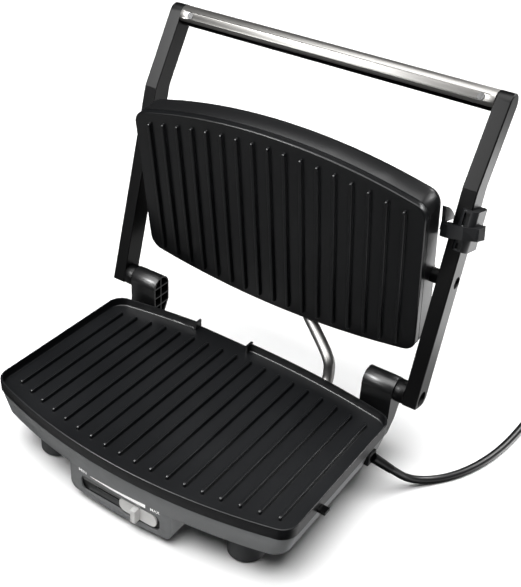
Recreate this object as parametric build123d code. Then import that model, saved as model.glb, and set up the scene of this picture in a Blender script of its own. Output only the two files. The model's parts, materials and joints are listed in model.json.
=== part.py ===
"""Panini press, open: base with lower plate, floating lid on two cranked arms, cord and plug."""
import math
import os

from build123d import *

# ---------------------------------------------------------------- driving values, mm, +Z up
# Values are measured from the middle line of the plates. The pieces are then moved so that the
# origin is under the middle of the box round the whole press without its cord.
MIDDLE_X, MIDDLE_Y = 6.9, 6.4

RIB_PITCH = 15.5
RIB_WIDTH = 3.5
RIB_TAPER = 10.0
RIB_EDGE_R, RIB_END_R = 0.5, 2.4

PLATE_HALF = 149.0
PLATE_FRONT, PLATE_FRONT_SAG = -141.2, 22.6
PLATE_REAR, PLATE_REAR_SAG = 53.3, 14.9
PLATE_CORNER = 15.0
PLATE_UNDER, PLATE_FLOOR, PLATE_RIM = 56.0, 58.8, 66.3
PLATE_RIM_THICK = 2.0
WELL_FOOT_R = 1.6
LOWER_RIB_TOP = 61.8
LOWER_RIBS = 18
LOWER_RIB_REAR, LOWER_RIB_REAR_BOW = 37.5, 7.0e-4
LOWER_RIB_FRONT, LOWER_RIB_FRONT_BOW = -125.3, 10.3e-4
SPOUT_LEFT, SPOUT_RIGHT, SPOUT_TIP = -61.0, -5.0, 55.2

SHELL_BOTTOM = 34.0
SHELL_WALL, SHELL_FOOT_R = 2.4, 0.9
SHELL_TOP_HALF, SHELL_BOTTOM_HALF = 147.6, 142.6
SHELL_TOP_FRONT, SHELL_BOTTOM_FRONT = -139.8, -136.9
SHELL_TOP_REAR, SHELL_BOTTOM_REAR = 51.9, 48.5
SHELL_FRONT_CORNER, SHELL_REAR_CORNER = 15.0, 4.5

APRON_HALF = 52.3
APRON_BOTTOM = 8.4
APRON_CORNER = 7.0
POCKET_HALF = 46.0
POCKET_LOW, POCKET_HIGH, POCKET_BACK = 11.2, 32.4, -126.5
SLOT_X0, SLOT_X1, SLOT_Z0, SLOT_Z1 = -39.5, 41.4, 13.2, 28.8
TRACK_FRONT, TRACK_BACK = -133.4, -131.4
KNOB_X, KNOB_WIDTH, KNOB_Z0, KNOB_Z1 = 19.6, 37.4, 14.9, 28.0
KNOB_TRAVEL = 39.4

FOOT_X, FOOT_Y, FOOT_R = 99.6, -98.7, 15.8
REAR_FOOT_X, REAR_FOOT_Y, REAR_FOOT_R = 95.0, 27.0, 11.0
PAD_HIGH = 1.4

HINGE_Y, HINGE_Z, KNUCKLE_R = 59.7, 80.1, 10.7
POST_INNER, POST_OUTER = 112.0, 140.6
BOSS_INNER = 141.2
ARM_INNER, ARM_OUTER = 150.2, 163.1
ARM_LOW_POINT, ARM_LOW_ANGLE, ARM_LOW_DEPTH = (73.36, 160.5), 73.98, 20.2
ARM_TOP_POINT, ARM_TOP_ANGLE, ARM_TOP_DEPTH = (121.41, 290.5), 58.83, 18.6
HINGE_PIN_R, PIVOT_PIN_R, RUNNING_GAP = 4.0, 3.0, 0.05
PIVOT_PIN_END = 129.0
HINGE_CAP_R, PIVOT_CAP_R = 6.9, 5.2
CAP_HOLE, CAP_DEPTH = 5.0, 3.8

HANDLE_Y, HANDLE_Z, HANDLE_R, HANDLE_CORE_R = 144.4, 313.5, 8.85, 7.75
HANDLE_STEEL_FROM, HANDLE_STEEL_TO = -90.0, 200.0
HANDLE_SCREW_X, HANDLE_SCREW_ANGLE = 139.15, 157.5

HEAD_ORIGIN, HEAD_ANGLE = (0.0, 82.77, 98.5), 98.92
HEAD_HALF = 141.5
HEAD_TOP, HEAD_TOP_SAG = 174.1, 20.0
HEAD_LOW, HEAD_LOW_SAG = -7.0, 14.8
HEAD_CORNER = 14.0
HEAD_DEPTH, HEAD_EDGE_R = 33.0, 10.0
HEAD_SEAM = 6.4
UPPER_RIBS = 17
UPPER_RIB_LOW, UPPER_RIB_LOW_BOW = 0.0, 6.7e-4
UPPER_RIB_TOP, UPPER_RIB_TOP_BOW = 164.3, 10.1e-4
PIVOT_S, PIVOT_T = 77.9, 21.5
PIVOT_BOSS_R = 6.2

SLIDER_ALONG, FLANGE_TILT = 150.0, 11.0

CONDUIT_R = 5.2
CONDUIT_LOW = [(73.0, 49.6, 46.5), (73.0, 68.5, 46.0), (70.5, 69.5, 66.0)]
CONDUIT_HIGH = [(70.45, 69.52, 66.4), (69.1, 70.06, 77.2), (33.0, 94.0, 85.0), (15.0, 104.0, 98.0)]

CORD_R = 3.4
COIL_X, COIL_Y, COIL_R = 262.0, 196.0, 38.4
CORD_ROUTE = [(148.2, 11.5, 42.5), (162.1, 23.5, 27.1), (172.0, 38.5, 10.5), (187.0, 57.5, 3.6),
              (201.5, 77.0, 3.5), (213.0, 104.0, 3.5), (219.8, 134.0, 3.5), (222.9, 165.5, 3.5),
              (223.6, 196.0, 3.5)]
TAIL_ROUTE = [(307.4, 196.0, 3.5), (307.4, 180.0, 3.6), (308.0, 164.0, 9.0), (308.0, 148.0, 15.7),
              (308.0, 134.0, 15.7)]

NODES = {}


def keep(name, solid):
    """Store one finished piece under its node name."""
    NODES[name] = solid


# ---------------------------------------------------------------- outlines
def tray_outline(half, low, low_sag, high, high_sag, corner, high_corner=None):
    """Face with straight sides, bowed low and high edges and round corners."""
    with BuildSketch() as sketch:
        with BuildLine():
            ThreePointArc((-half, low + low_sag), (0, low), (half, low + low_sag))
            Line((half, low + low_sag), (half, high - high_sag))
            ThreePointArc((half, high - high_sag), (0, high), (-half, high - high_sag))
            Line((-half, high - high_sag), (-half, low + low_sag))
        make_face()
        ends = sketch.vertices().sort_by(Axis.Y)
        fillet(ends[:2], corner)
        ends = sketch.vertices().sort_by(Axis.Y)
        fillet(ends[-2:], high_corner or corner)
    return sketch.sketch


def plate_outline(inset=0.0):
    """Outline of the lower plate, drawn in by an inset."""
    return tray_outline(PLATE_HALF - inset, PLATE_FRONT + inset, PLATE_FRONT_SAG,
                        PLATE_REAR - inset, PLATE_REAR_SAG, PLATE_CORNER - inset)


def head_outline(inset=0.0):
    """Outline of the upper plate and lid housing, drawn in by an inset."""
    return tray_outline(HEAD_HALF - inset, HEAD_LOW + inset, HEAD_LOW_SAG,
                        HEAD_TOP - inset, HEAD_TOP_SAG, HEAD_CORNER - min(inset, 8.0))


def shell_loft(inset, z0, z1):
    """Tapered solid of the base shell between two heights."""
    faces = []
    for z in (z0, z1):
        k = (z - SHELL_BOTTOM) / (PLATE_UNDER - SHELL_BOTTOM)
        half = SHELL_BOTTOM_HALF + k * (SHELL_TOP_HALF - SHELL_BOTTOM_HALF) - inset
        front = SHELL_BOTTOM_FRONT + k * (SHELL_TOP_FRONT - SHELL_BOTTOM_FRONT) + inset
        rear = SHELL_BOTTOM_REAR + k * (SHELL_TOP_REAR - SHELL_BOTTOM_REAR) - inset
        face = tray_outline(half, front, 20.6, rear, 14.0, SHELL_FRONT_CORNER - inset,
                            SHELL_REAR_CORNER - inset)
        faces.append(Pos(0, 0, z) * face)
    return loft(Sketch() + faces, ruled=True)


def box(x0, x1, y0, y1, z0, z1):
    """Box between two corners."""
    return Pos((x0 + x1) / 2, (y0 + y1) / 2, (z0 + z1) / 2) * Box(x1 - x0, y1 - y0, z1 - z0)


def rod_x(x0, x1, y, z, radius):
    """Cylinder along X."""
    return Pos((x0 + x1) / 2, y, z) * Rot(0, 90, 0) * Cylinder(radius, abs(x1 - x0))


def slab_yz(points, x0, x1):
    """Prism of a YZ outline between two X values."""
    face = make_face(Polyline(*[(0, y, z) for y, z in points], close=True))
    solid = extrude(face, amount=x1 - x0, dir=(1, 0, 0))
    return Pos(x0, 0, 0) * solid


def slab_xz(width, height, radius, x, y0, y1, z):
    """Rounded plate facing -Y, centred on x and z."""
    sketch = Plane.XZ * RectangleRounded(width, height, radius)
    return Pos(x, y1, z) * extrude(sketch, amount=y1 - y0)


def ribs(count, low, low_bow, high, high_bow, z0, z1):
    """Row of tapering bars along Y with rounded top edges and sloping, rounded ends."""
    bars = []
    for i in range(count):
        x = (i - (count - 1) / 2) * RIB_PITCH
        y0 = low + low_bow * x * x
        y1 = high - high_bow * x * x
        slot = Pos(x, (y0 + y1) / 2, z0) * Rot(0, 0, 90) * SlotOverall(y1 - y0, RIB_WIDTH)
        bar = extrude(slot, amount=z1 - z0, taper=RIB_TAPER)
        side = extrude(make_face(Polyline((0, y0, z0), (0, y1, z0), (0, y1, z1), (0, y0, z1), close=True)),
                       amount=RIB_WIDTH, dir=(1, 0, 0))
        side = fillet(side.edges().filter_by(Axis.X).group_by(Axis.Z)[-1], RIB_END_R)
        bar = bar & Pos(x - RIB_WIDTH / 2, 0, 0) * side
        flat = bar.faces().sort_by(Axis.Z)[-1]
        bars.append(fillet(flat.edges().filter_by(Axis.Y), RIB_EDGE_R))
    return bars


# ---------------------------------------------------------------- base
def lower_plate():
    """Ribbed grill plate with a raised rim and a pouring gap at the rear."""
    plate = Pos(0, 0, PLATE_UNDER) * extrude(plate_outline(), amount=PLATE_RIM - PLATE_UNDER)
    plate = fillet(plate.faces().sort_by(Axis.Z)[-1].edges(), 0.9)
    well = Pos(0, 0, PLATE_FLOOR) * extrude(plate_outline(PLATE_RIM_THICK), amount=20, taper=-4)
    well = fillet(well.faces().sort_by(Axis.Z)[0].edges(), WELL_FOOT_R)
    plate -= well
    gap = box(SPOUT_LEFT, SPOUT_RIGHT, 40, 60, PLATE_FLOOR, PLATE_RIM + 5)
    plate -= gap
    plate += box(SPOUT_LEFT, SPOUT_RIGHT, 46, SPOUT_TIP, PLATE_UNDER, PLATE_FLOOR)
    for x, lean in ((SPOUT_LEFT, -2.0), (SPOUT_RIGHT, 2.0)):
        side = 1 if lean < 0 else -1
        lip = make_face(Polyline((x, 46.5), (x, SPOUT_TIP), (x + lean, SPOUT_TIP + 0.6),
                                 (x - 2 * side, 50.0), (x - 2 * side, 46.5), close=True))
        plate += Pos(0, 0, PLATE_UNDER) * extrude(lip, amount=PLATE_RIM - PLATE_UNDER)
    bars = ribs(LOWER_RIBS, LOWER_RIB_FRONT, LOWER_RIB_FRONT_BOW, LOWER_RIB_REAR,
                LOWER_RIB_REAR_BOW, PLATE_FLOOR - 0.2, LOWER_RIB_TOP)
    for bar in bars:
        plate += bar
    keep("lower_grill_plate", plate)


def apron_block(grow=0.0):
    """Front apron below the shell, front face following the bow of the shell."""
    front = SHELL_BOTTOM_FRONT
    arc_depth = 9.8e-4 * APRON_HALF ** 2
    with BuildSketch() as plan:
        with BuildLine():
            ThreePointArc((-APRON_HALF, front + arc_depth), (0, front), (APRON_HALF, front + arc_depth))
            Polyline((APRON_HALF, front + arc_depth), (APRON_HALF, front + 30),
                     (-APRON_HALF, front + 30), (-APRON_HALF, front + arc_depth))
        make_face()
    block = Pos(0, 0, APRON_BOTTOM) * extrude(plan.sketch, amount=SHELL_BOTTOM - APRON_BOTTOM)
    side = slab_yz([(front - 5, APRON_BOTTOM), (front + 20, APRON_BOTTOM), (front + 26, SHELL_BOTTOM),
                    (front - 5, SHELL_BOTTOM)], -APRON_HALF, APRON_HALF)
    block = block & side
    low = [e for e in block.edges().filter_by(Axis.Y) if e.center().Z < APRON_BOTTOM + 1]
    return fillet(low, APRON_CORNER)


def base_shell():
    """Tapered ring of the base with the slider apron, open below."""
    plain = shell_loft(0, SHELL_BOTTOM, PLATE_UNDER)
    shell = fillet(plain.faces().sort_by(Axis.Z)[0].edges(), SHELL_FOOT_R)
    shell += plain & box(-APRON_HALF, APRON_HALF, -150, -100, SHELL_BOTTOM, SHELL_BOTTOM + 2 * SHELL_FOOT_R)
    shell -= shell_loft(SHELL_WALL, SHELL_BOTTOM - 1, PLATE_UNDER + 1)
    shell += apron_block()
    shell -= box(-POCKET_HALF, POCKET_HALF, -134.0, POCKET_BACK, POCKET_LOW, POCKET_HIGH)
    slot_x = (SLOT_X0 + SLOT_X1) / 2
    slot_z = (SLOT_Z0 + SLOT_Z1) / 2
    shell -= slab_xz(SLOT_X1 - SLOT_X0, SLOT_Z1 - SLOT_Z0, 5.5, slot_x, -145, -133, slot_z)
    shell -= conduit_path(CONDUIT_LOW)
    keep("base_shell", shell)


def bottom_cover():
    """Flat cover closing the shell from below, with vent slits."""
    cover = shell_loft(SHELL_WALL, SHELL_BOTTOM, SHELL_BOTTOM + 2.0)
    for i in range(9):
        slit = Pos((i - 4) * 12.0, -30, SHELL_BOTTOM + 1) * Box(4, 46, 6)
        cover -= slit
    cover -= box(-POCKET_HALF - 10, POCKET_HALF + 10, -150, -108, 30, 40)
    cover -= box(138, 152, 4, 19, 30, 40)
    keep("bottom_cover", cover)


def feet():
    """Round front feet and smaller rear feet with rubber pads."""
    for name, x in (("left", -FOOT_X), ("right", FOOT_X)):
        foot = Pos(x, FOOT_Y, (PAD_HIGH + SHELL_BOTTOM) / 2) * Cylinder(FOOT_R, SHELL_BOTTOM - PAD_HIGH)
        foot = fillet(foot.edges().sort_by(Axis.Z)[0], 1.2)
        keep("front_foot_" + name, foot)
        keep("front_pad_" + name, Pos(x, FOOT_Y, PAD_HIGH / 2) * Cylinder(FOOT_R - 2.2, PAD_HIGH))
    for name, x in (("left", -REAR_FOOT_X), ("right", REAR_FOOT_X)):
        foot = Pos(x, REAR_FOOT_Y, (PAD_HIGH + SHELL_BOTTOM) / 2) * Cylinder(REAR_FOOT_R, SHELL_BOTTOM - PAD_HIGH)
        keep("rear_foot_" + name, foot)
        keep("rear_pad_" + name, Pos(x, REAR_FOOT_Y, PAD_HIGH / 2) * Cylinder(REAR_FOOT_R - 1.5, PAD_HIGH))


def temperature_slider():
    """Slider track behind the slot, the sliding knob and the thermostat it works."""
    track = box(-POCKET_HALF, POCKET_HALF, TRACK_FRONT, TRACK_BACK, POCKET_LOW, POCKET_HIGH)
    track += box(-POCKET_HALF, POCKET_HALF, TRACK_FRONT - 0.45, TRACK_FRONT, 22.6, 30.6) \
        & box(-39, 40.4, -140, -130, 20, 31)
    track -= box(-25, 25, TRACK_FRONT - 2, TRACK_BACK + 1, 20.0, 22.2)
    keep("slider_track", track)
    knob_z = (KNOB_Z0 + KNOB_Z1) / 2
    knob = slab_xz(KNOB_WIDTH, KNOB_Z1 - KNOB_Z0, 5.6, KNOB_X, TRACK_FRONT - 2.4, TRACK_FRONT - 0.8, knob_z)
    nub = box(KNOB_X - 2.5, KNOB_X + 2.3, -142.2, TRACK_FRONT - 1.5, KNOB_Z0 + 0.4, KNOB_Z1)
    knob += fillet(nub.edges().filter_by(Axis.Z), 0.9)
    knob += box(KNOB_X - 2, KNOB_X + 2, TRACK_FRONT - 1.5, TRACK_BACK + 2, 20.4, 21.8)
    knob += box(KNOB_X - 5, KNOB_X + 5, TRACK_BACK + 0.5, TRACK_BACK + 2, 18, 25)
    keep("temperature_knob", knob)
    keep("thermostat", box(-17, 17, -104, -84, SHELL_BOTTOM + 2, 47))
    keep("thermostat_arm", box(-3, 3, -122, -104, 38, 40.5))


def heating_parts():
    """Tube heater under the plate, its reflector and the terminal block."""
    run = 108.0
    path = Polyline((-run, -96, 52.8), (run, -96, 52.8), (run, 10, 52.8), (-run, 10, 52.8))
    path = fillet(path.vertices().sort_by(Axis.X)[-2:], 26)
    profile = Plane(origin=(-run, -96, 52.8), z_dir=(1, 0, 0)) * Circle(3.2)
    keep("lower_heater", sweep(profile, path=path))
    tray = box(-126, 126, -112, 24, 48.0, 49.0)
    for x in (-100, 100):
        tray += box(x - 5, x + 5, -44, -34, SHELL_BOTTOM + 2, 48.0)
    keep("lower_reflector", tray)
    keep("terminal_block", box(60, 92, 26, 40, SHELL_BOTTOM + 2, 47))


def hinge_posts():
    """Posts behind the base that carry the knuckles, with pins and ribbed hollows on the inner side."""
    body = shell_loft(-0.02, SHELL_BOTTOM, PLATE_UNDER)
    plate = Pos(0, 0, PLATE_UNDER) * extrude(plate_outline(-0.4), amount=30)
    wall, depth, web = 1.3, 9.0, 1.1
    for name, side in (("left", -1), ("right", 1)):
        x0, x1 = sorted((side * POST_INNER, side * POST_OUTER))
        outline = [(HINGE_Y - KNUCKLE_R, HINGE_Z), (HINGE_Y - KNUCKLE_R, 54), (34, 54), (34, 36.5),
                   (52, 36.5), (62.5, 46), (HINGE_Y + KNUCKLE_R, 62), (HINGE_Y + KNUCKLE_R, HINGE_Z)]
        post = slab_yz(outline, x0, x1) + rod_x(x0, x1, HINGE_Y, HINGE_Z, KNUCKLE_R)
        front, rear = HINGE_Y - KNUCKLE_R + wall, HINGE_Y + KNUCKLE_R - wall
        h0, h1 = sorted((side * (POST_INNER - 1), side * (POST_INNER + depth)))
        hollow = slab_yz([(front, HINGE_Z), (front, 57), (61.5, 49.5), (rear, 62.6), (rear, HINGE_Z)], h0, h1)
        hollow += rod_x(h0, h1, HINGE_Y, HINGE_Z, KNUCKLE_R - wall)
        hollow -= box(h0, h1, HINGE_Y - 1 - web / 2, HINGE_Y - 1 + web / 2, 40, 100)
        for z in (60.8, 70.4, 80.4):
            hollow -= box(h0, h1, 40, 80, z - web / 2, z + web / 2)
        post -= hollow
        post -= body
        post -= plate
        post -= rod_x(side * (POST_INNER + depth + 2), side * POST_OUTER, HINGE_Y, HINGE_Z, HINGE_PIN_R)
        keep("hinge_post_" + name, post)
        end = side * (ARM_OUTER - CAP_HOLE - 1.0)
        keep("hinge_pin_" + name, rod_x(side * (POST_INNER + depth + 2), end, HINGE_Y, HINGE_Z, HINGE_PIN_R))


def side_catch():
    """Small catch ledge on the right side of the base."""
    ledge = box(PLATE_HALF, 156.3, -82.2, -75.0, 57.9, 60.7)
    ledge -= box(PLATE_HALF + 1.5, 160, -84, -81.8, 59.1, 59.5)
    keep("side_catch", ledge)


# ---------------------------------------------------------------- arms and handle
def direction(angle):
    """Unit YZ direction for an angle in degrees."""
    return math.cos(math.radians(angle)), math.sin(math.radians(angle))


def from_line(point, angle, along, behind):
    """YZ point measured along a sloping line and squarely behind it."""
    c, s = direction(angle)
    return point[0] + along * c + behind * s, point[1] + along * s - behind * c


def meet(p, a, q, b):
    """Crossing of two YZ lines given by a point and an angle."""
    ca, sa = direction(a)
    cb, sb = direction(b)
    k = ((q[0] - p[0]) * sb - (q[1] - p[1]) * cb) / (ca * sb - sa * cb)
    return p[0] + k * ca, p[1] + k * sa


def arm_profile():
    """Corners of the YZ outline of a cranked arm and the top of its round end."""
    hinge = (HINGE_Y, HINGE_Z)
    gap, foot, end = 9.04, -8.0, 31.6
    foot_front = from_line(hinge, ARM_LOW_ANGLE, foot, -gap)
    foot_rear = from_line(hinge, ARM_LOW_ANGLE, foot, ARM_LOW_DEPTH - gap)
    kink_front = meet(ARM_LOW_POINT, ARM_LOW_ANGLE, ARM_TOP_POINT, ARM_TOP_ANGLE)
    rear_top_point = from_line(ARM_TOP_POINT, ARM_TOP_ANGLE, 0, ARM_TOP_DEPTH)
    kink_rear = meet(foot_rear, ARM_LOW_ANGLE, rear_top_point, ARM_TOP_ANGLE)
    front_end = from_line(ARM_TOP_POINT, ARM_TOP_ANGLE, end, 0)
    rear_end = from_line(ARM_TOP_POINT, ARM_TOP_ANGLE, end, ARM_TOP_DEPTH)
    tip = from_line(ARM_TOP_POINT, ARM_TOP_ANGLE, end + ARM_TOP_DEPTH / 2, ARM_TOP_DEPTH / 2)
    return foot_front, foot_rear, kink_rear, rear_end, tip, front_end, kink_front


def lift(point):
    """YZ pair as a 3-D point on the X = 0 plane."""
    return 0, point[0], point[1]


def arm_solid(x0, x1):
    """Arm between two X values: square toe in front, large round at the rear of its foot."""
    foot_front, foot_rear, kink_rear, rear_end, tip, front_end, kink_front = map(lift, arm_profile())
    edges = [Line(foot_front, foot_rear), Line(foot_rear, kink_rear), Line(kink_rear, rear_end),
             ThreePointArc(rear_end, tip, front_end), Line(front_end, kink_front), Line(kink_front, foot_front)]
    arm = Pos(x0, 0, 0) * extrude(make_face(Curve() + edges), amount=x1 - x0, dir=(1, 0, 0))
    for corner, radius in ((foot_front, 1.6), (foot_rear, 9.0)):
        near = arm.edges().filter_by(Axis.X).sort_by(
            lambda e: (e.center().Y - corner[1]) ** 2 + (e.center().Z - corner[2]) ** 2)[0]
        arm = fillet(near, radius)
    return arm


def head_point(s, t):
    """YZ of a point s up the upper plate and t behind it."""
    c, k = direction(HEAD_ANGLE)
    return HEAD_ORIGIN[1] + s * c + t * k, HEAD_ORIGIN[2] + s * k - t * c


def arms():
    """Two cranked arms with hinge knuckles, screw caps and pivot bores."""
    pivot_y, pivot_z = head_point(PIVOT_S, PIVOT_T)
    for name, side in (("left", -1), ("right", 1)):
        x0, x1 = sorted((side * ARM_INNER, side * ARM_OUTER))
        arm = arm_solid(x0, x1)
        outer = arm.faces().sort_by(Axis.X)[0 if side < 0 else -1]
        arm = fillet(outer.edges(), 1.0)
        inner = arm.faces().sort_by(Axis.X)[-1 if side < 0 else 0]
        arm = fillet(inner.edges(), 0.6)
        arm -= rod_x(side * ARM_INNER, side * (ARM_OUTER - CAP_HOLE), HINGE_Y, HINGE_Z,
                     HINGE_PIN_R + RUNNING_GAP)
        arm -= rod_x(side * (ARM_OUTER - CAP_HOLE), side * (ARM_OUTER + 2), pivot_y, pivot_z, PIVOT_CAP_R)
        arm -= rod_x(side * (ARM_OUTER - CAP_HOLE), side * (ARM_OUTER + 2), HINGE_Y, HINGE_Z, HINGE_CAP_R)
        keep("arm_" + name, arm)
        knuckle = rod_x(side * BOSS_INNER, side * ARM_INNER, HINGE_Y, HINGE_Z, KNUCKLE_R - 0.6)
        knuckle -= rod_x(side * BOSS_INNER, side * ARM_INNER, HINGE_Y, HINGE_Z, HINGE_PIN_R + RUNNING_GAP)
        keep("hinge_knuckle_" + name, knuckle)
        cap = rod_x(side * (ARM_OUTER - CAP_HOLE), side * (ARM_OUTER - CAP_DEPTH), HINGE_Y, HINGE_Z, HINGE_CAP_R)
        keep("hinge_cap_" + name, cap)
        cap = rod_x(side * (ARM_OUTER - CAP_HOLE), side * (ARM_OUTER - CAP_DEPTH), pivot_y, pivot_z, PIVOT_CAP_R)
        keep("pivot_cap_" + name, cap)
        boss = rod_x(side * (HEAD_HALF + 0.4), side * ARM_INNER, pivot_y, pivot_z, PIVOT_BOSS_R)
        boss += rod_x(side * PIVOT_PIN_END, side * ARM_INNER, pivot_y, pivot_z, PIVOT_PIN_R)
        keep("pivot_pin_" + name, boss)


def handle():
    """Cross handle: black core, steel cover open below, four screws."""
    core = rod_x(-ARM_INNER, ARM_INNER, HANDLE_Y, HANDLE_Z, HANDLE_CORE_R)
    cover = rod_x(-ARM_INNER, ARM_INNER, HANDLE_Y, HANDLE_Z, HANDLE_R)
    ring = cover - core
    reach = 30.0
    middle = (HANDLE_STEEL_FROM + HANDLE_STEEL_TO) / 2 + 180
    points = [(HANDLE_Y, HANDLE_Z)]
    for angle in (HANDLE_STEEL_TO, middle, HANDLE_STEEL_FROM + 360):
        c, s = direction(angle)
        points.append((HANDLE_Y + reach * c, HANDLE_Z + reach * s))
    wedge = slab_yz(points, -ARM_INNER, ARM_INNER)
    strip = ring & wedge
    keep("handle_tube", ring - wedge)
    core += strip
    c, s = direction(HANDLE_SCREW_ANGLE)
    for name, x in (("left", -HANDLE_SCREW_X), ("right", HANDLE_SCREW_X)):
        spot = Plane(origin=(x, HANDLE_Y + 5.5 * c, HANDLE_Z + 5.5 * s), z_dir=(0, c, s))
        screw = extrude(spot * Circle(2.9), amount=HANDLE_R - 5.5 + 0.5)
        core -= screw
        NODES["handle_tube"] -= screw
        keep("handle_screw_" + name, screw)
    keep("handle_core", core)


def height_slider():
    """Saddle on the right arm: upright sleeve, sloping finger flange and a quarter-round fin inside."""
    c, k = direction(ARM_LOW_ANGLE)
    origin = (0, HINGE_Y + SLIDER_ALONG * c, HINGE_Z + SLIDER_ALONG * k)
    # x across the press, y up along the arm, z out of the front of the arm
    base = Plane(origin=origin, x_dir=(1, 0, 0), z_dir=(0, -k, c))
    plan = make_face(Polyline((142.4, 0, 1.0), (142.4, 0, 11.0), (149.6, 0, 15.6), (163.0, 0, 16.4),
                              (174.4, 0, 14.6), (176.6, 0, 4.0), (174.0, 0, -3.6), (163.0, 0, -3.6),
                              (149.0, 0, 1.0), close=True))
    flange = extrude(plan, amount=5.1, dir=(0, 1, 0), both=True)
    corners = flange.edges().filter_by(Axis.Y).sort_by(Axis.X)
    flange = fillet(corners[-3:], 2.2)
    flange = Pos(160.0, -2.1, 0) * Rot(0, 0, FLANGE_TILT) * Pos(-160.0, 0, 0) * flange
    body = flange & box(142.2, 180, -30, 30, -30, 30)
    sleeve = extrude(Plane.XZ * RectangleRounded(13.5, 27.0, 5.0), amount=16.6, both=True)
    body += Pos(162.25, -0.1, 0.5) * sleeve
    fin = make_face(Curve() + [Line((0, 1.6, 12.0), (0, 15.4, 19.2)),
                               ThreePointArc((0, 15.4, 19.2), (0, 10.6, 3.0), (0, 1.6, -11.0)),
                               Line((0, 1.6, -11.0), (0, 1.6, 12.0))])
    body += Pos(142.4, 0, 0) * extrude(fin, amount=2.8, dir=(1, 0, 0))
    body += box(142.4, 145.2, -5, 2.2, 8.6, 12.0)
    gap = 0.35
    middle = (ARM_INNER + ARM_OUTER) / 2
    body -= Pos(middle, 0, -1.06) * Box(ARM_OUTER - ARM_INNER + 2 * gap, 120, ARM_LOW_DEPTH + 2 * gap)
    for low, high in ((4.2, 14.4), (-15.2, -10.0)):
        body -= box(159.0, 163.6, low, high, 11.2, 14.8)
    keep("height_slider", base * body)


# ---------------------------------------------------------------- lid
def head_plane():
    """Plane of the upper plate: x across, y up the plate, z out of the cooking face."""
    c, s = direction(HEAD_ANGLE)
    return Plane(origin=HEAD_ORIGIN, x_dir=(1, 0, 0), z_dir=(0, -s, c))


def lid():
    """Upper plate, housing, heater and reflector inside the lid."""
    plane = head_plane()
    plate = Pos(0, 0, -HEAD_SEAM) * extrude(head_outline(0.2), amount=HEAD_SEAM)
    plate = fillet(plate.faces().sort_by(Axis.Z)[-1].edges(), 1.3)
    plate -= Pos(0, 0, -HEAD_SEAM - 1) * extrude(head_outline(9.0), amount=HEAD_SEAM + 1 - 3.4)
    for bar in ribs(UPPER_RIBS, UPPER_RIB_LOW, UPPER_RIB_LOW_BOW, UPPER_RIB_TOP,
                    UPPER_RIB_TOP_BOW, -0.2, 3.0):
        plate += bar
    keep("upper_grill_plate", plane * plate)
    case = Pos(0, 0, -HEAD_DEPTH) * extrude(head_outline(), amount=HEAD_DEPTH - HEAD_SEAM)
    case = fillet(case.faces().sort_by(Axis.Z)[0].edges(), HEAD_EDGE_R)
    hollow = Pos(0, 0, 3 - HEAD_DEPTH) * extrude(head_outline(3.2), amount=HEAD_DEPTH)
    hollow = fillet(hollow.faces().sort_by(Axis.Z)[0].edges(), 6.0)
    case -= hollow
    for side in (-1, 1):
        case += Pos(side * 133.5, PIVOT_S, -PIVOT_T) * Rot(0, 90, 0) * Cylinder(8.5, 13)
        case -= Pos(side * 140, PIVOT_S, -PIVOT_T) * Rot(0, 90, 0) * Cylinder(PIVOT_PIN_R + RUNNING_GAP, 24)
    keep("lid_housing", plane * case - conduit_path(CONDUIT_HIGH))
    deep = -6.7
    loop = Polyline((-100, 30, deep), (100, 30, deep), (100, 136, deep), (-100, 136, deep))
    loop = fillet(loop.vertices().sort_by(Axis.X)[-2:], 26)
    profile = Plane(origin=(-100, 30, deep), z_dir=(1, 0, 0)) * Circle(3.2)
    keep("upper_heater", plane * sweep(profile, path=loop))
    tray = Pos(0, 83, -15.4) * Box(240, 126, 1.0)
    for x in (-80, 80):
        tray += Pos(x, 83, -22.9) * Box(10, 10, 14.2)
    keep("upper_reflector", plane * tray)


# ---------------------------------------------------------------- conduit and cord
def tube_along(points, radius):
    """Round tube along straight runs joined by arcs as large as their runs allow; returns tube and radii."""
    vectors = [Vector(*p) for p in points]
    radii = []
    for before, corner, after in zip(vectors, vectors[1:], vectors[2:]):
        first = corner - before
        second = after - corner
        half_turn = math.radians(first.get_angle(second)) / 2
        radii.append(0.45 * min(first.length, second.length) / math.tan(half_turn))
    path = FilletPolyline(*points, radius=radii)
    profile = Plane(origin=path @ 0, z_dir=path % 0) * Circle(radius)
    return sweep(profile, path=path), radii, path.length


def conduit_path(points):
    """Steel conduit tube along its points."""
    return tube_along(points, CONDUIT_R)[0]


def conduit():
    """Steel conduit carrying the wires from the base to the lid, in two pieces."""
    keep("conduit_lower", conduit_path(CONDUIT_LOW))
    keep("conduit_upper", conduit_path(CONDUIT_HIGH))


def coil_ring():
    """Outer shape of the put-away coil: a ring of two layers and a half turn outside it."""
    high, low = 13.1, 6.9
    ring = Pos(0, 0, high / 2) * (Cylinder(COIL_R + CORD_R, high) - Cylinder(COIL_R - 3 * CORD_R - 0.4, 2 * high))
    outer = Pos(0, 0, low / 2) * (Cylinder(COIL_R + 3 * CORD_R + 0.3, low) - Cylinder(COIL_R, 2 * low))
    ring += outer & box(-100, 100, 0, 100, 0, low)
    return Pos(COIL_X, COIL_Y, 0.1) * ring


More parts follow.
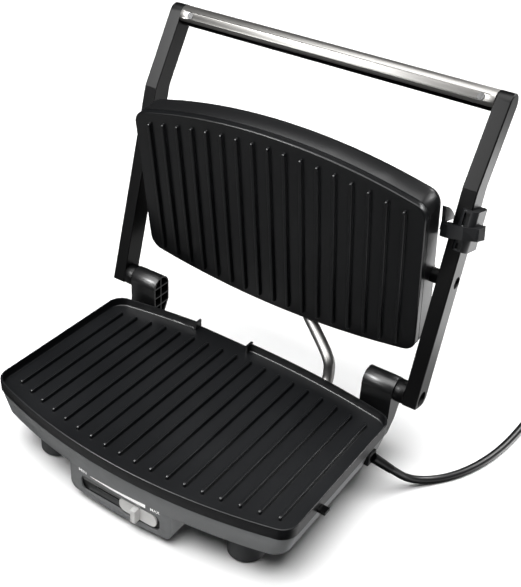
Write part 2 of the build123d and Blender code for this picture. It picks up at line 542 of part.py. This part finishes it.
def cord():
    """Mains cord: grip, boot, free run, coil, last run, plug and its pins."""
    grip = box(139.5, CORD_ROUTE[0][0], 3.8, 17.2, 37.8, 47.2)
    grip = fillet(grip.faces().sort_by(Axis.X)[-1].edges(), 1.0) - shell_loft(-0.03, SHELL_BOTTOM - 1, PLATE_UNDER)
    keep("cord_grip", grip)
    start = Vector(*CORD_ROUTE[0])
    way = (Vector(*CORD_ROUTE[1]) - start).normalized()
    boot = Plane(origin=start + way * 11.2, z_dir=way) * Cone(4.4, 3.7, 22.0)
    run, radii, length = tube_along(CORD_ROUTE, CORD_R)
    keep("cord_boot", boot - run - grip)
    ring = coil_ring()
    print("cord run length %.1f volume ratio %.4f" % (length, run.volume / (math.pi * CORD_R ** 2 * length)),
          "radii", [round(r) for r in radii])
    keep("cord_run", run - grip - ring)
    keep("cord_coil", ring)
    tail, radii, length = tube_along(TAIL_ROUTE, CORD_R)
    print("tail length %.1f" % length, "radii", [round(r) for r in radii])
    keep("cord_tail", tail - ring)
    plug_y = TAIL_ROUTE[-1][1]
    axis = Plane(origin=(TAIL_ROUTE[-1][0], plug_y, TAIL_ROUTE[-1][2]), x_dir=(1, 0, 0), z_dir=(0, -1, 0))
    neck = axis * Pos(0, 0, 12) * Cone(4.6, 8.0, 24.0)
    body = axis * Pos(0, 0, 24) * extrude(RectangleRounded(36.0, 31.0, 13.0), amount=30.0)
    keep("plug_body", neck + fillet(body.faces().sort_by(Axis.Y)[-1].edges(), 5.0))
    for name, x in (("left", -9.5), ("right", 9.5)):
        keep("plug_pin_" + name, axis * Pos(x, 0, 54 + 9.5) * Cylinder(2.4, 19.0))


def build():
    """Make every piece."""
    lower_plate()
    base_shell()
    bottom_cover()
    feet()
    temperature_slider()
    heating_parts()
    hinge_posts()
    side_catch()
    arms()
    handle()
    height_slider()
    lid()
    conduit()
    cord()


build()
os.makedirs("parts", exist_ok=True)
for old in os.listdir("parts"):
    os.remove("parts/" + old)
for node, placed in NODES.items():
    solid = Pos(-MIDDLE_X, -MIDDLE_Y, 0) * placed
    pieces = solid.solids()
    print(f"{node:24s} solids {len(pieces)} volume {sum(p.volume for p in pieces):10.1f} valid {solid.is_valid}")
    export_step(solid, "parts/" + node + ".step")
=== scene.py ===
"""Looks of the open panini press: materials, fine detail, conduit, cord, light and camera."""
import json
import math

import bpy
from mathutils import Matrix, Vector


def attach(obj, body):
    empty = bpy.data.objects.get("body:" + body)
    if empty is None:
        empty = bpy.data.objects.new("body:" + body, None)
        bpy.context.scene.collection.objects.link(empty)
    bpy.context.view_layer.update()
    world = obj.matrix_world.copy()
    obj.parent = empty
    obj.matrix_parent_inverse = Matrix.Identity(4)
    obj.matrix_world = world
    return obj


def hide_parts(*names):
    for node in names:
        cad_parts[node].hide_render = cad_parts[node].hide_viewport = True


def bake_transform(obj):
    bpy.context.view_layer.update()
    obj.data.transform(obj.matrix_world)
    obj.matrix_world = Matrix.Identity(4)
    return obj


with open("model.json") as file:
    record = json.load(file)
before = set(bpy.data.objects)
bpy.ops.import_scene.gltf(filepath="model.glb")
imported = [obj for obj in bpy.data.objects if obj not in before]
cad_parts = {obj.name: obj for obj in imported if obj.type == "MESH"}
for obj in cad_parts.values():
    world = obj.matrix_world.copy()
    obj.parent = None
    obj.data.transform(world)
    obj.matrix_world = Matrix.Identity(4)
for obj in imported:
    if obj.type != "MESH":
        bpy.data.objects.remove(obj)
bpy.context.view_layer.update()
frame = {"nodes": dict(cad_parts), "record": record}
NODES = frame["nodes"]

MM = 0.001
MICRON = 0.000001
# the frame's origin, measured from the middle line of the plates
MIDDLE = Vector((0.0069, 0.0064, 0.0))

# camera, in metres
CAMERA_PLACE = (0.38772, -0.56076, 0.60441)
CAMERA_RIGHT = (0.8287, 0.5575, 0.0495)
CAMERA_UP = (-0.3435, 0.4367, 0.8315)
CAMERA_BACK = (0.4419, -0.7061, 0.5534)
CAMERA_LENS = 68.84
CAMERA_SENSOR = 36.0
CAMERA_NEAR = 0.01

# conduit route, in metres
CONDUIT_R = 0.0052
CONDUIT_LOW = [(0.0720, 0.0496, 0.0465), (0.0722, 0.0690, 0.0462), (0.0694, 0.0696, 0.0664)]
CONDUIT_HIGH = [(0.0694, 0.0696, 0.0660), (0.0676, 0.0702, 0.0780), (0.0316, 0.0940, 0.0850),
                (0.0140, 0.1040, 0.0980)]
CONDUIT_ORDER = 4
CONDUIT_STEPS = 20

# cord route, in metres: out of the grip, down to the table and back to the coil
CORD_R = 0.0034
CORD_ORDER = 3
CORD_STEPS = 8
CORD_EXIT = (0.1482, 0.0115, 0.0425)
CORD_RUN = [CORD_EXIT, (0.1621, 0.0235, 0.0271), (0.1720, 0.0385, 0.0105), (0.1870, 0.0575, 0.0036),
            (0.2015, 0.0770, 0.0035), (0.2130, 0.1040, 0.0035), (0.2198, 0.1340, 0.0035),
            (0.2229, 0.1655, 0.0035)]
CORD_TAIL = [(0.3074, 0.1800, 0.0036), (0.3080, 0.1640, 0.0090), (0.3080, 0.1480, 0.0157),
             (0.3080, 0.1340, 0.0157)]
COIL_CENTRE = (0.262, 0.196)
# turn, radius and height where the coil is level, with smooth stretches between them
COIL_STATIONS = [(0.0, 0.0384, 0.0035), (0.85, 0.0384, 0.0035), (1.1, 0.0314, 0.0035), (1.85, 0.0314, 0.0035),
                 (2.1, 0.0349, 0.0096), (2.8, 0.0349, 0.0096), (3.1, 0.0454, 0.0035), (3.5, 0.0454, 0.0035)]
COIL_POINTS_PER_TURN = 14

# front of the base, in millimetres
SHELL_BOTTOM, SHELL_TOP = 34.0, 56.0
SHELL_FRONT_LOW, SHELL_FRONT_TOP = -136.9, -139.8
SHELL_BOW = 9.9e-4

# temperature slider's strip, in millimetres: dark below this height as painted shade inside the slot, grey
# above
STRIP_SHADE_TOP = 22.6
STRIP_PAINTED_SHADE, STRIP_GREY = 0.0015, 0.085

# print on the front: left, right, and heights at either side, in millimetres
PRINT_LIFT = 0.06
PRINT_THICKNESS = 0.04
WEDGE_LEFT, WEDGE_RIGHT = -28.8, 28.0
WEDGE_BOTTOM = (32.3, 31.6)
WEDGE_TOP = (32.9, 35.5)
WEDGE_STEPS = 24
WORD_BOTTOM, WORD_TOP = 31.9, 34.9
WORDS = (("mark_min", "MIN", -41.6, -33.0), ("mark_max", "MAX", 32.8, 41.4))
LETTER_WEIGHT = 0.008

# rounding of the CAD nodes' sharp edges, in millimetres
BEVELS = {
    "base_shell": 0.7, "slider_track": 0.2, "temperature_knob": 0.4, "side_catch": 0.5,
    "hinge_post_left": 0.8, "hinge_post_right": 0.8, "hinge_cap_left": 0.7, "hinge_cap_right": 0.7,
    "hinge_knuckle_left": 0.5, "hinge_knuckle_right": 0.5, "arm_left": 0.35, "arm_right": 0.35,
    "height_slider": 0.7, "lid_housing": 0.5, "bottom_cover": 0.3, "cord_grip": 0.5,
    "handle_core": 0.2, "handle_tube": 0.1, "plug_body": 0.4, "upper_grill_plate": 0.3,
    "lower_grill_plate": 0.3,
}
BEVEL_ANGLE = 32.0
WELD_DISTANCE = 0.005

# floor and surroundings
FLOOR_HALF = 12.0
FLOOR_GREYS = (0.925, 0.935)
SURROUNDINGS_GREY = 0.05
HORIZON = (-0.05, 0.30)
SKY_BRIGHTNESS = (0.02, 0.45)
# bright lobes of the surroundings: direction, cosine where it starts and is full, brightness
WORLD_LOBES = (((-0.44, -0.64, 0.63), 0.70, 0.95, 0.80),
               ((-0.42, -0.62, -0.66), 0.78, 0.93, 8.0),
               ((-0.44, 0.87, -0.22), 0.70, 0.90, 0.42),
               ((0.44, 0.71, -0.55), 0.80, 0.94, 14.0))

# lights: the sun's strength, width in degrees and direction, then soft lights for glints only
SUN_STRENGTH = 5.6
SUN_WIDTH = 60.0
SUN_DIRECTION = (0.06, 0.14, -0.98)
PRESS_MIDDLE = (0.0, -0.03, 0.08)
# name, place, target, width and height, energy
GLINT_LIGHTS = (("rib_ends", (-0.66, -0.83, 1.07), PRESS_MIDDLE, (0.20, 0.20), 28.0),
                ("rib_edges", (0.58, 1.03, 0.96), PRESS_MIDDLE, (0.8, 0.35), 24.0),
                ("arm_fronts", (-0.95, -1.7, 0.78), (0.0, 0.1, 0.25), (0.9, 0.35), 13.0),
                ("low_right", (0.365, 0.32, -0.004), (0.365, 0.32, 1.0), (0.30, 0.86), 2.6))


def in_frame(point):
    """A point measured from the plates' middle line, in the frame."""
    return tuple(Vector(point) - MIDDLE)


def between(low, high, part):
    """The value that lies a part of the way from low to high."""
    return low + part * (high - low)


# ---------------------------------------------------------------- shader helpers
def new_material(name):
    """Empty node material with its shader."""
    mat = bpy.data.materials.new(name)
    mat.use_nodes = True
    shader = mat.node_tree.nodes["Principled BSDF"]
    return mat, mat.node_tree, shader


def add_node(tree, kind, **values):
    """One node with its settings and input values."""
    node = tree.nodes.new(kind)
    for key, value in values.items():
        if hasattr(node, key):
            setattr(node, key, value)
        else:
            node.inputs[key.replace("_", " ")].default_value = value
    return node


def noise(tree, scale, detail, stretch=(1.0, 1.0, 1.0)):
    """Noise over the object's own coordinates, in metres."""
    coords = add_node(tree, "ShaderNodeTexCoord")
    mapping = add_node(tree, "ShaderNodeMapping", Scale=stretch)
    texture = add_node(tree, "ShaderNodeTexNoise", Scale=scale, Detail=detail)
    tree.links.new(coords.outputs["Object"], mapping.inputs["Vector"])
    tree.links.new(mapping.outputs["Vector"], texture.inputs["Vector"])
    return texture.outputs["Fac"]


def ramp(tree, factor, low, high):
    """Colour that runs between two greys or colours; each is given as (place, colour)."""
    node = add_node(tree, "ShaderNodeValToRGB")
    for element, (place, colour) in zip(node.color_ramp.elements, (low, high)):
        element.position = place
        if not hasattr(colour, "__len__"):
            colour = (colour, colour, colour)
        element.color = (*colour, 1.0)
    tree.links.new(factor, node.inputs["Fac"])
    return node.outputs["Color"]


def map_range(tree, factor, source, target, kind="LINEAR"):
    """Map a factor from one range of values on to another."""
    node = add_node(tree, "ShaderNodeMapRange", interpolation_type=kind, From_Min=source[0],
                    From_Max=source[1], To_Min=target[0], To_Max=target[1])
    tree.links.new(factor, node.inputs["Value"])
    return node.outputs["Result"]


def bump(tree, shader, factor, depth):
    """Bump from a factor, depth in micrometres."""
    node = add_node(tree, "ShaderNodeBump", Distance=depth * MICRON)
    tree.links.new(factor, node.inputs["Height"])
    tree.links.new(node.outputs["Normal"], shader.inputs["Normal"])


def grain(name, rough, scale, depth, specular=0.5, metallic=0.0, ior=1.45):
    """Moulded or painted surface without its colour; also gives the tree, shader and grain factor."""
    mat, tree, shader = new_material(name)
    shader.inputs["Metallic"].default_value = metallic
    shader.inputs["Specular IOR Level"].default_value = specular
    shader.inputs["IOR"].default_value = ior
    fine = noise(tree, scale, 3.0)
    broad = noise(tree, 14.0, 3.0)
    mixed = add_node(tree, "ShaderNodeMix", data_type="FLOAT", Factor=0.55)
    tree.links.new(fine, mixed.inputs["A"])
    tree.links.new(broad, mixed.inputs["B"])
    factor = mixed.outputs["Result"]
    tree.links.new(map_range(tree, factor, (0.3, 0.7), rough), shader.inputs["Roughness"])
    bump(tree, shader, fine, depth)
    return mat, tree, shader, factor


def grained(name, colour, spread, rough, scale, depth, **gloss):
    """Moulded or painted surface whose colour drifts by a share of itself."""
    mat, tree, shader, factor = grain(name, rough, scale, depth, **gloss)
    low = tuple(c * (1 - spread) for c in colour)
    high = tuple(c * (1 + spread) for c in colour)
    tree.links.new(ramp(tree, factor, (0.35, low), (0.65, high)), shader.inputs["Base Color"])
    return mat


def grey_with_painted_shade_below(name, low, high, level, rough):
    """Plastic with fine grain: a dark grey below a height, which is painted shade, and another grey above it.
    """
    mat, tree, shader, _ = grain(name, rough, 1800.0, 20.0)
    coords = add_node(tree, "ShaderNodeTexCoord")
    axes = add_node(tree, "ShaderNodeSeparateXYZ")
    step = add_node(tree, "ShaderNodeMath", operation="GREATER_THAN")
    step.inputs[1].default_value = level
    tree.links.new(coords.outputs["Object"], axes.inputs[0])
    tree.links.new(axes.outputs["Z"], step.inputs[0])
    tree.links.new(ramp(tree, step.outputs[0], (0.0, low), (1.0, high)), shader.inputs["Base Color"])
    return mat


def brushed(name, colour, rough, stretch, scale, depth):
    """Brushed metal with fine lines across the stretched directions."""
    mat, tree, shader = new_material(name)
    shader.inputs["Metallic"].default_value = 1.0
    lines = noise(tree, scale, 4.0, stretch)
    low = tuple(c * 0.86 for c in colour)
    tree.links.new(ramp(tree, lines, (0.3, low), (0.7, colour)), shader.inputs["Base Color"])
    tree.links.new(map_range(tree, lines, (0.3, 0.7), rough), shader.inputs["Roughness"])
    bump(tree, shader, lines, depth)
    return mat


# ---------------------------------------------------------------- materials
# grained: name, colour, spread, roughness, scale of the grain and its depth in micrometres
# brushed: name, colour, roughness, stretch, scale of the lines and their depth in micrometres
MATERIALS = {
    "plate": grained("coated_plate", (0.0046, 0.0050, 0.0058), 0.22, (0.28, 0.38), 1500.0, 40.0,
                     specular=0.34),
    "shell": grained("shell_paint", (0.155, 0.159, 0.161), 0.05, (0.30, 0.38), 2600.0, 10.0, metallic=0.35),
    "grey_plastic": grained("grey_plastic", (0.036, 0.037, 0.039), 0.12, (0.42, 0.56), 1800.0, 30.0,
                            specular=0.4),
    "black_plastic": grained("black_plastic", (0.0012, 0.0013, 0.0015), 0.25, (0.32, 0.40), 1700.0, 12.0,
                             ior=1.25),
    "black_gloss": grained("black_gloss", (0.001, 0.001, 0.0011), 0.2, (0.2, 0.3), 900.0, 10.0,
                           specular=0.12),
    "rubber": grained("rubber", (0.008, 0.008, 0.008), 0.2, (0.7, 0.85), 900.0, 50.0, specular=0.3),
    "steel": brushed("brushed_steel", (0.24, 0.235, 0.226), (0.40, 0.43), (1.0, 28.0, 28.0), 60.0, 0.4),
    "chrome": brushed("plated_screw", (0.10, 0.10, 0.10), (0.26, 0.32), (1.0, 1.0, 1.0), 500.0, 4.0),
    "silver_plastic": grained("silver_plastic", (0.50, 0.495, 0.485), 0.05, (0.36, 0.44), 2200.0, 15.0,
                              metallic=0.15),
    "lid": grained("lid_paint", (0.0070, 0.0072, 0.0078), 0.12, (0.30, 0.38), 2400.0, 10.0, specular=0.30),
    "tin": brushed("bright_sheet", (0.72, 0.72, 0.72), (0.28, 0.4), (1.0, 12.0, 1.0), 70.0, 10.0),
    "heater": brushed("heater_steel", (0.3, 0.28, 0.26), (0.4, 0.5), (4.0, 4.0, 4.0), 60.0, 20.0),
    "brass": brushed("plated_pin", (0.75, 0.66, 0.48), (0.22, 0.32), (1.0, 9.0, 1.0), 200.0, 10.0),
    "cord": grained("cord_pvc", (0.006, 0.0062, 0.0068), 0.16, (0.34, 0.42), 1600.0, 20.0, specular=0.35),
}
CONDUIT_STEEL = brushed("conduit_steel", (0.26, 0.255, 0.25), (0.40, 0.44), (2.0, 2.0, 2.0), 160.0, 0.3)
PRINT = grained("white_print", (0.86, 0.85, 0.84), 0.03, (0.5, 0.6), 1500.0, 5.0)
# the slider track is painted dark below a height as shade inside the slot, and grey above
TRACK_WITH_PAINTED_SHADE = grey_with_painted_shade_below("slider_track", STRIP_PAINTED_SHADE, STRIP_GREY, STRIP_SHADE_TOP * MM, (0.4, 0.5))
POST = grained("post_plastic", (0.004, 0.0042, 0.0046), 0.2, (0.30, 0.38), 1700.0, 12.0, ior=1.5)
SLIDER = grained("slider_plastic", (0.010, 0.0105, 0.0115), 0.12, (0.34, 0.44), 1800.0, 20.0, specular=0.25)
OWN_MATERIAL = {"slider_track": TRACK_WITH_PAINTED_SHADE, "height_slider": SLIDER, "hinge_post_left": POST,
                "hinge_post_right": POST}


def paint_nodes():
    """Give every CAD node its own material, or else the material of its slot."""
    slots = {s["node"]: s["material_slot"] for s in frame["record"]["subparts"]}
    for name, node in NODES.items():
        node.data.materials.clear()
        node.data.materials.append(OWN_MATERIAL.get(name) or MATERIALS[slots[name]])


def soften_edges():
    """Round the sharp edges of the CAD nodes a little."""
    for name, width in BEVELS.items():
        node = NODES[name]
        weld = node.modifiers.new("weld", "WELD")
        weld.merge_threshold = WELD_DISTANCE * MM
        edge = node.modifiers.new("edge", "BEVEL")
        edge.width = width * MM
        edge.segments = 2
        edge.limit_method = "ANGLE"
        edge.angle_limit = math.radians(BEVEL_ANGLE)
        edge.harden_normals = True


# ---------------------------------------------------------------- objects
def add_object(name, data):
    """Put new data in the scene as an object."""
    obj = bpy.data.objects.new(name, data)
    bpy.context.scene.collection.objects.link(obj)
    return obj


def aim_at(obj, direction):
    """Turn a light so that it shines along a direction."""
    obj.rotation_euler = Vector(direction).to_track_quat("-Z", "Y").to_euler()


def evaluated_mesh(obj):
    """Mesh of a curve or text object, which is then removed."""
    bpy.context.view_layer.update()
    mesh = bpy.data.meshes.new_from_object(obj.evaluated_get(bpy.context.evaluated_depsgraph_get()))
    bpy.data.objects.remove(obj)
    return mesh


# ---------------------------------------------------------------- conduit and cord
def spline_curve(name, points, radius, order, steps):
    """One NURBS curve with a round section."""
    curve = bpy.data.curves.new(name, "CURVE")
    curve.dimensions = "3D"
    curve.bevel_depth = radius
    curve.bevel_resolution = 6
    curve.resolution_u = steps
    spline = curve.splines.new("NURBS")
    spline.points.add(len(points) - 1)
    for point, place in zip(spline.points, points):
        point.co = (*in_frame(place), 1.0)
    spline.order_u = order
    spline.use_endpoint_u = True
    return add_object(name, curve)


def make_conduit():
    """Two lengths of steel tube along fixed routes from the base to the frame and on to the lid."""
    parts = (("conduit_low_tube", CONDUIT_LOW, "conduit_lower", "base", "handle_frame"),
             ("conduit_high_tube", CONDUIT_HIGH, "conduit_upper", "handle_frame", "lid"))
    for name, points, node, first, second in parts:
        order = min(CONDUIT_ORDER, len(points))
        mesh = evaluated_mesh(spline_curve("route", points, CONDUIT_R, order, CONDUIT_STEPS))
        for polygon in mesh.polygons:
            polygon.use_smooth = True
        tube = add_object(name, mesh)
        mesh.materials.append(CONDUIT_STEEL)
        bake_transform(tube)
        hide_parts(node)


def coil_section(turn):
    """Radius and height of the coil after a number of turns."""
    for (turn0, radius0, height0), (turn1, radius1, height1) in zip(COIL_STATIONS, COIL_STATIONS[1:]):
        if turn0 <= turn <= turn1:
            part = (turn - turn0) / (turn1 - turn0)
            part = part * part * (3 - 2 * part)
            return between(radius0, radius1, part), between(height0, height1, part)


def coil_points():
    """Points of the put-away coil, turn by turn from its left side."""
    points = []
    last_turn = COIL_STATIONS[-1][0]
    for i in range(int(last_turn * COIL_POINTS_PER_TURN) + 1):
        turn = i / COIL_POINTS_PER_TURN
        radius, height = coil_section(turn)
        angle = math.pi - 2 * math.pi * turn
        x = COIL_CENTRE[0] + radius * math.cos(angle)
        y = COIL_CENTRE[1] + radius * math.sin(angle)
        points.append((x, y, height))
    return points


def make_cord():
    """Mains cord on one smooth spline, from the grip to the plug."""
    route = CORD_RUN + coil_points() + CORD_TAIL
    cord = spline_curve("mains_cord", route, CORD_R, CORD_ORDER, CORD_STEPS)
    cord.data.materials.append(MATERIALS["cord"])
    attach(cord, "base")
    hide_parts("cord_run", "cord_coil", "cord_tail")


# ---------------------------------------------------------------- marks on the front
def front_y(x, z):
    """Y of the base's front face, all in millimetres."""
    part = max(0.0, (z - SHELL_BOTTOM) / (SHELL_TOP - SHELL_BOTTOM))
    return between(SHELL_FRONT_LOW, SHELL_FRONT_TOP, part) + SHELL_BOW * x * x


def print_piece(name, points, faces):
    """Thin printed patch laid on the front face; points are x and z in millimetres."""
    mesh = bpy.data.meshes.new(name)
    places = [in_frame((x * MM, (front_y(x, z) - PRINT_LIFT) * MM, z * MM)) for x, z in points]
    mesh.from_pydata(places, [], faces)
    patch = add_object(name, mesh)
    thick = patch.modifiers.new("thick", "SOLIDIFY")
    thick.thickness = PRINT_THICKNESS * MM
    mesh.materials.append(PRINT)
    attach(patch, "base")


def make_wedge():
    """White wedge that grows from low to high heat."""
    low = []
    high = []
    for i in range(WEDGE_STEPS + 1):
        part = i / WEDGE_STEPS
        x = between(WEDGE_LEFT, WEDGE_RIGHT, part)
        low.append((x, between(*WEDGE_BOTTOM, part)))
        high.append((x, between(*WEDGE_TOP, part)))
    row = WEDGE_STEPS + 1
    faces = [(i, i + 1, i + 1 + row, i + row) for i in range(WEDGE_STEPS)]
    print_piece("heat_wedge", low + high, faces)


def make_word(name, word, left, right):
    """Short generic word fitted to its place on the front face."""
    curve = bpy.data.curves.new(name, "FONT")
    curve.body = word
    curve.resolution_u = 3
    curve.offset = LETTER_WEIGHT
    mesh = evaluated_mesh(add_object(name + "_text", curve))
    xs = [v.co.x for v in mesh.vertices]
    ys = [v.co.y for v in mesh.vertices]
    points = []
    for x, y in zip(xs, ys):
        across = (x - min(xs)) / (max(xs) - min(xs))
        up = (y - min(ys)) / (max(ys) - min(ys))
        points.append((between(left, right, across), between(WORD_BOTTOM, WORD_TOP, up)))
    faces = [tuple(p.vertices) for p in mesh.polygons]
    print_piece(name, points, faces)


def make_marks():
    """Low and high words and the wedge between them."""
    make_wedge()
    for name, word, left, right in WORDS:
        make_word(name, word, left, right)


# ---------------------------------------------------------------- light, floor, camera
def make_floor():
    """White floor, left out of reflections so that black pieces stay black."""
    mesh = bpy.data.meshes.new("floor")
    corners = [(-FLOOR_HALF, -FLOOR_HALF, 0), (FLOOR_HALF, -FLOOR_HALF, 0), (FLOOR_HALF, FLOOR_HALF, 0),
               (-FLOOR_HALF, FLOOR_HALF, 0)]
    mesh.from_pydata(corners, [], [(0, 1, 2, 3)])
    floor = add_object("floor", mesh)
    mat, tree, shader = new_material("studio_floor")
    low, high = FLOOR_GREYS
    tree.links.new(ramp(tree, noise(tree, 3.0, 2.0), (0.3, low), (0.7, high)), shader.inputs["Base Color"])
    shader.inputs["Roughness"].default_value = 0.9
    shader.inputs["Specular IOR Level"].default_value = 0.05
    mesh.materials.append(mat)
    floor.visible_glossy = False
    floor.visible_shadow = False


def make_world():
    """Grey sky, dark below the horizon, with four bright lobes for the press to reflect."""
    world = bpy.data.worlds.new("studio")
    bpy.context.scene.world = world
    world.use_nodes = True
    tree = world.node_tree
    coords = add_node(tree, "ShaderNodeTexCoord")
    axes = add_node(tree, "ShaderNodeSeparateXYZ")
    tree.links.new(coords.outputs["Generated"], axes.inputs[0])
    total = map_range(tree, axes.outputs["Z"], HORIZON, SKY_BRIGHTNESS, "SMOOTHSTEP")
    for direction, start, full, bright in WORLD_LOBES:
        dot = add_node(tree, "ShaderNodeVectorMath", operation="DOT_PRODUCT")
        dot.inputs[1].default_value = direction
        tree.links.new(coords.outputs["Generated"], dot.inputs[0])
        lobe = map_range(tree, dot.outputs["Value"], (start, full), (0.0, bright), "SMOOTHSTEP")
        add = add_node(tree, "ShaderNodeMath", operation="ADD")
        tree.links.new(total, add.inputs[0])
        tree.links.new(lobe, add.inputs[1])
        total = add.outputs[0]
    background = tree.nodes["Background"]
    background.inputs["Color"].default_value = (SURROUNDINGS_GREY, SURROUNDINGS_GREY, SURROUNDINGS_GREY, 1.0)
    tree.links.new(total, background.inputs["Strength"])


def make_sun():
    """Even, soft light from above, a little from the left and the front."""
    lamp = bpy.data.lights.new("sun", "SUN")
    lamp.energy = SUN_STRENGTH
    lamp.angle = math.radians(SUN_WIDTH)
    aim_at(add_object("sun", lamp), SUN_DIRECTION)


def make_glint_light(name, place, target, size, energy):
    """Rectangular soft light that shows only in reflections."""
    lamp = bpy.data.lights.new(name, "AREA")
    lamp.shape = "RECTANGLE"
    lamp.size, lamp.size_y = size
    lamp.energy = energy
    light = add_object(name, lamp)
    light.location = place
    aim_at(light, Vector(target) - Vector(place))
    light.visible_camera = False
    light.visible_diffuse = False


def make_stage():
    """Floor, surroundings and soft lights."""
    make_floor()
    make_world()
    make_sun()
    for light in GLINT_LIGHTS:
        make_glint_light(*light)
    bpy.context.scene.view_settings.view_transform = "Standard"


def make_camera():
    """Camera above the front right corner of the press, looking down at it."""
    camera = bpy.data.cameras.new("camera")
    camera.sensor_fit = "HORIZONTAL"
    camera.sensor_width = CAMERA_SENSOR
    camera.lens = CAMERA_LENS
    camera.clip_start = CAMERA_NEAR
    obj = add_object("camera", camera)
    turn = Matrix((CAMERA_RIGHT, CAMERA_UP, CAMERA_BACK)).transposed()
    obj.matrix_world = Matrix.Translation(in_frame(CAMERA_PLACE)) @ turn.to_4x4()
    bpy.context.scene.camera = obj


# ---------------------------------------------------------------- build
make_camera()
make_stage()
paint_nodes()
soften_edges()
make_conduit()
make_cord()
make_marks()
bpy.context.view_layer.update()
